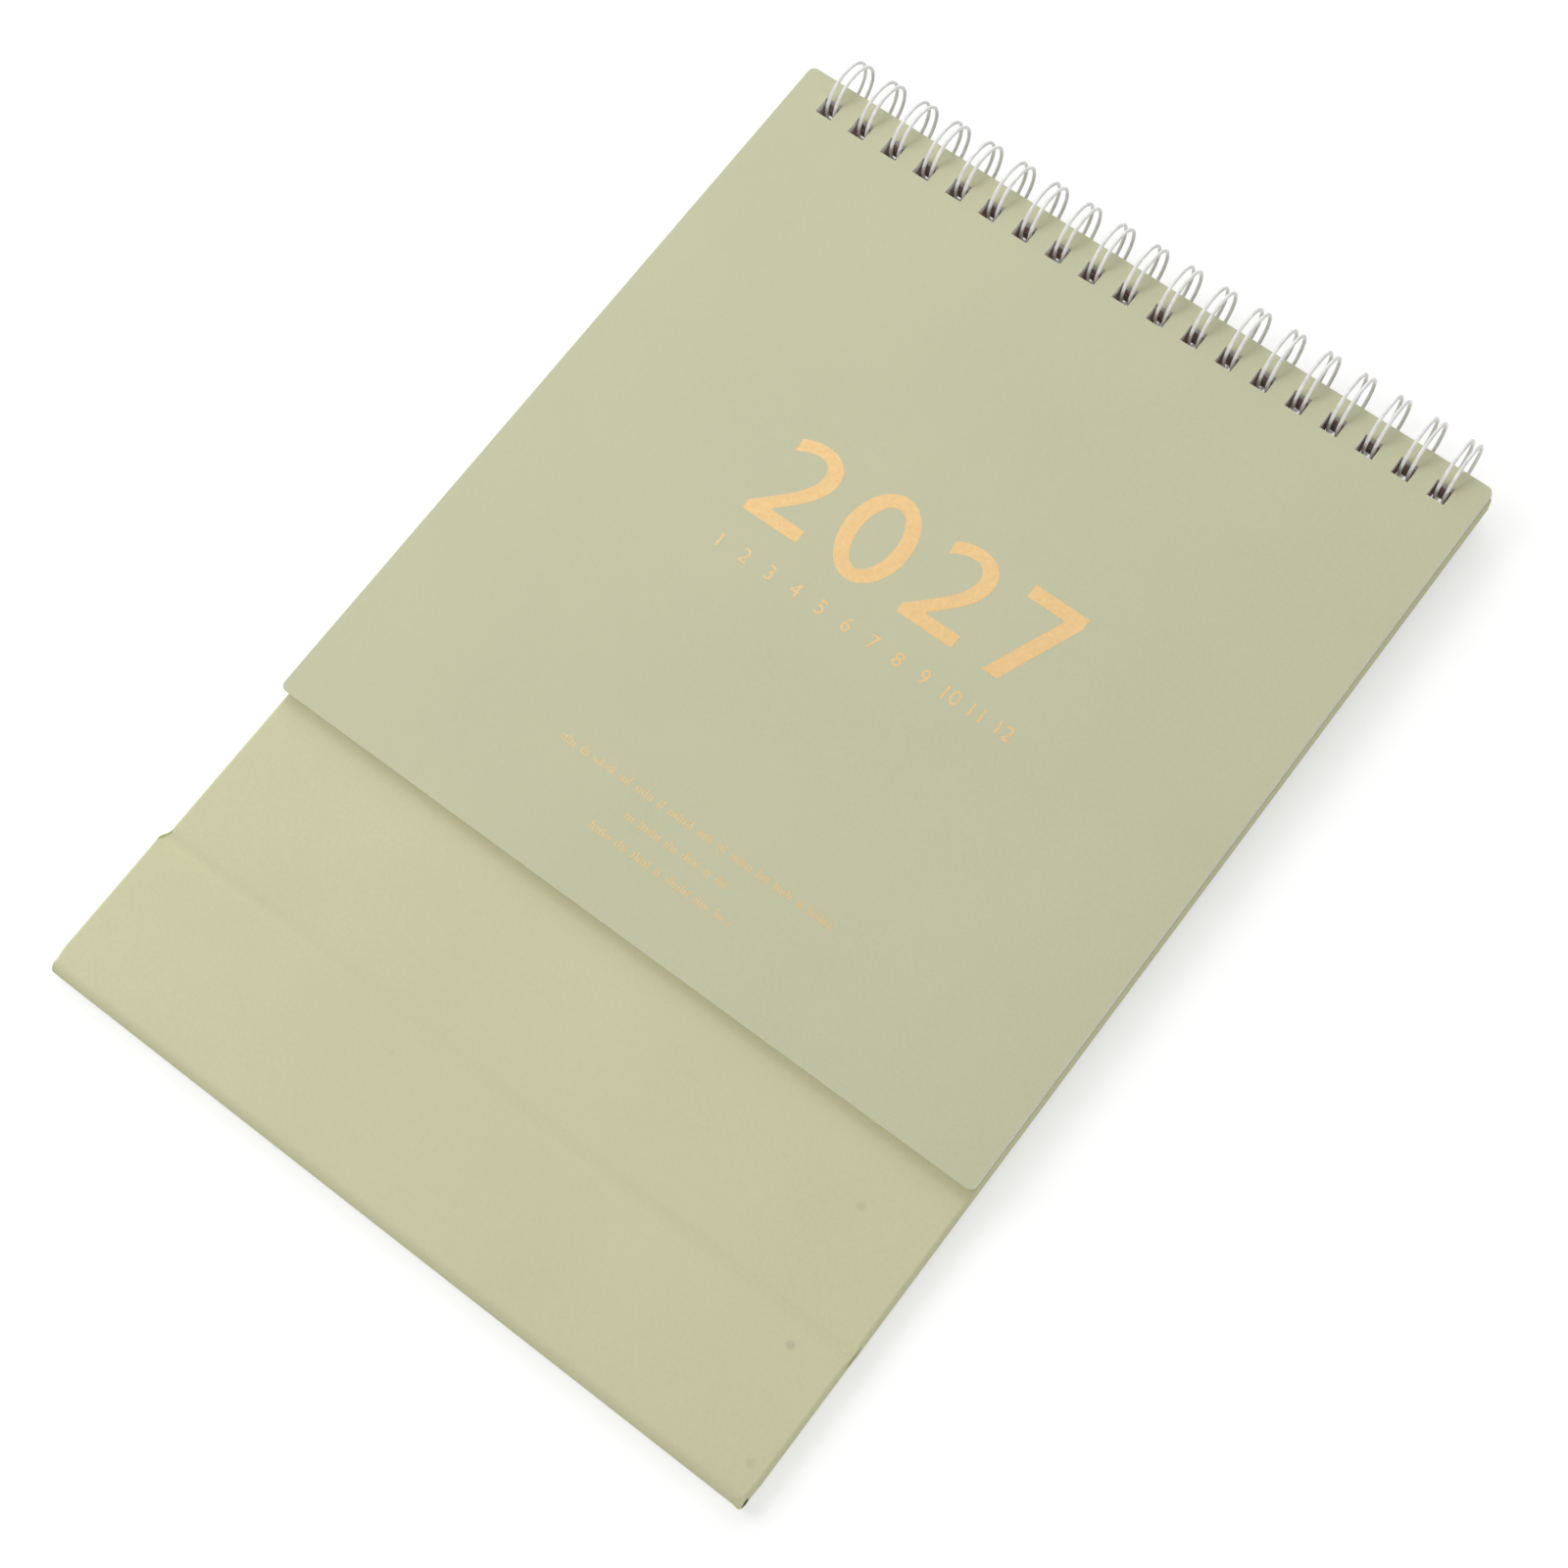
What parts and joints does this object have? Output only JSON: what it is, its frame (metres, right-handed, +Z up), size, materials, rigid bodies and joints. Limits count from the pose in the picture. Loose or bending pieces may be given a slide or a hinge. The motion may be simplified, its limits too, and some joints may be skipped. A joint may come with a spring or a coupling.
{
  "type": "wire-bound flip desk calendar",
  "caption": "Portrait month calendar with sheets on a twin-loop wire, on a wrapped card stand that folds flat and sets up as an easel.",
  "frame": {"origin": "centre of the footprint, on the table the folded calendar lies on", "axes": "+X along the wire, to the right of the cover; +Y from the foot of the stand to the wire; +Z up, out of the cover"},
  "size_m": [0.1704, 0.2544, 0.0147],
  "materials": {
    "grey_board": "matte",
    "covering_paper": "matte",
    "lining_paper": "matte",
    "cover_card": "matte",
    "leaf_paper": "matte",
    "coated_wire": "gloss"
  },
  "bodies": {
    "base_rear": {"base_rear_board": "grey_board", "base_rear_covering": "covering_paper", "base_rear_lining": "lining_paper"},
    "base_front": {"base_front_board": "grey_board", "base_front_covering": "covering_paper", "base_front_lining": "lining_paper"},
    "front_panel": {"front_board": "grey_board", "front_covering": "covering_paper", "front_lining": "lining_paper", "wire_binding": "coated_wire"},
    "back_panel": {"back_board": "grey_board", "back_covering": "covering_paper", "back_lining": "lining_paper"},
    "cover": {"cover_sheet": "cover_card"},
    "leaf_01": {"month_leaf_01": "leaf_paper"},
    "leaf_02": {"month_leaf_02": "leaf_paper"},
    "leaf_03": {"month_leaf_03": "leaf_paper"},
    "leaf_04": {"month_leaf_04": "leaf_paper"},
    "leaf_05": {"month_leaf_05": "leaf_paper"},
    "leaf_06": {"month_leaf_06": "leaf_paper"},
    "leaf_07": {"month_leaf_07": "leaf_paper"},
    "leaf_08": {"month_leaf_08": "leaf_paper"},
    "leaf_09": {"month_leaf_09": "leaf_paper"},
    "leaf_10": {"month_leaf_10": "leaf_paper"},
    "leaf_11": {"month_leaf_11": "leaf_paper"},
    "leaf_12": {"month_leaf_12": "leaf_paper"}
  },
  "joints": [
    {"name": "base_fold", "type": "hinge", "parent": "base_rear", "child": "base_front", "pos_m": [0, -0.12715, 0.00244], "axis": [1, 0, 0], "range_deg": [0, 180]},
    {"name": "front_crease", "type": "hinge", "parent": "base_front", "child": "front_panel", "pos_m": [0, -0.09299, 0.00528], "axis": [-1, 0, 0], "range_deg": [0, 98.93]},
    {"name": "back_swing", "type": "hinge", "parent": "front_panel", "child": "back_panel", "pos_m": [0, 0.1198, 0.00735], "axis": [1, 0, 0], "range_deg": [0, 17.31]},
    {"name": "cover_flip", "type": "hinge", "parent": "front_panel", "child": "cover", "pos_m": [0, 0.1198, 0.00735], "axis": [-1, 0, 0], "range_deg": [0, 180]},
    {"name": "leaf_01_flip", "type": "hinge", "parent": "front_panel", "child": "leaf_01", "pos_m": [0, 0.1198, 0.00735], "axis": [-1, 0, 0], "range_deg": [0, 177.89]},
    {"name": "leaf_02_flip", "type": "hinge", "parent": "front_panel", "child": "leaf_02", "pos_m": [0, 0.1198, 0.00735], "axis": [-1, 0, 0], "range_deg": [0, 175.73]},
    {"name": "leaf_03_flip", "type": "hinge", "parent": "front_panel", "child": "leaf_03", "pos_m": [0, 0.1198, 0.00735], "axis": [-1, 0, 0], "range_deg": [0, 173.57]},
    {"name": "leaf_04_flip", "type": "hinge", "parent": "front_panel", "child": "leaf_04", "pos_m": [0, 0.1198, 0.00735], "axis": [-1, 0, 0], "range_deg": [0, 171.41]},
    {"name": "leaf_05_flip", "type": "hinge", "parent": "front_panel", "child": "leaf_05", "pos_m": [0, 0.1198, 0.00735], "axis": [-1, 0, 0], "range_deg": [0, 169.25]},
    {"name": "leaf_06_flip", "type": "hinge", "parent": "front_panel", "child": "leaf_06", "pos_m": [0, 0.1198, 0.00735], "axis": [-1, 0, 0], "range_deg": [0, 167.09]},
    {"name": "leaf_07_flip", "type": "hinge", "parent": "front_panel", "child": "leaf_07", "pos_m": [0, 0.1198, 0.00735], "axis": [-1, 0, 0], "range_deg": [0, 164.93]},
    {"name": "leaf_08_flip", "type": "hinge", "parent": "front_panel", "child": "leaf_08", "pos_m": [0, 0.1198, 0.00735], "axis": [-1, 0, 0], "range_deg": [0, 162.77]},
    {"name": "leaf_09_flip", "type": "hinge", "parent": "front_panel", "child": "leaf_09", "pos_m": [0, 0.1198, 0.00735], "axis": [-1, 0, 0], "range_deg": [0, 160.61]},
    {"name": "leaf_10_flip", "type": "hinge", "parent": "front_panel", "child": "leaf_10", "pos_m": [0, 0.1198, 0.00735], "axis": [-1, 0, 0], "range_deg": [0, 158.45]},
    {"name": "leaf_11_flip", "type": "hinge", "parent": "front_panel", "child": "leaf_11", "pos_m": [0, 0.1198, 0.00735], "axis": [-1, 0, 0], "range_deg": [0, 156.29]},
    {"name": "leaf_12_flip", "type": "hinge", "parent": "front_panel", "child": "leaf_12", "pos_m": [0, 0.1198, 0.00735], "axis": [-1, 0, 0], "range_deg": [0, 154.13]}
  ],
  "couplings": [
    {"joint": "front_crease", "follows": "base_fold", "ratio": 0.54934},
    {"joint": "back_swing", "follows": "base_fold", "ratio": 0.095872},
    {"joint": "leaf_01_flip", "follows": "cover_flip", "ratio": 0.988},
    {"joint": "leaf_02_flip", "follows": "cover_flip", "ratio": 0.976},
    {"joint": "leaf_03_flip", "follows": "cover_flip", "ratio": 0.964},
    {"joint": "leaf_04_flip", "follows": "cover_flip", "ratio": 0.952},
    {"joint": "leaf_05_flip", "follows": "cover_flip", "ratio": 0.94},
    {"joint": "leaf_06_flip", "follows": "cover_flip", "ratio": 0.928},
    {"joint": "leaf_07_flip", "follows": "cover_flip", "ratio": 0.916},
    {"joint": "leaf_08_flip", "follows": "cover_flip", "ratio": 0.904},
    {"joint": "leaf_09_flip", "follows": "cover_flip", "ratio": 0.892},
    {"joint": "leaf_10_flip", "follows": "cover_flip", "ratio": 0.88},
    {"joint": "leaf_11_flip", "follows": "cover_flip", "ratio": 0.868},
    {"joint": "leaf_12_flip", "follows": "cover_flip", "ratio": 0.856}
  ]
}
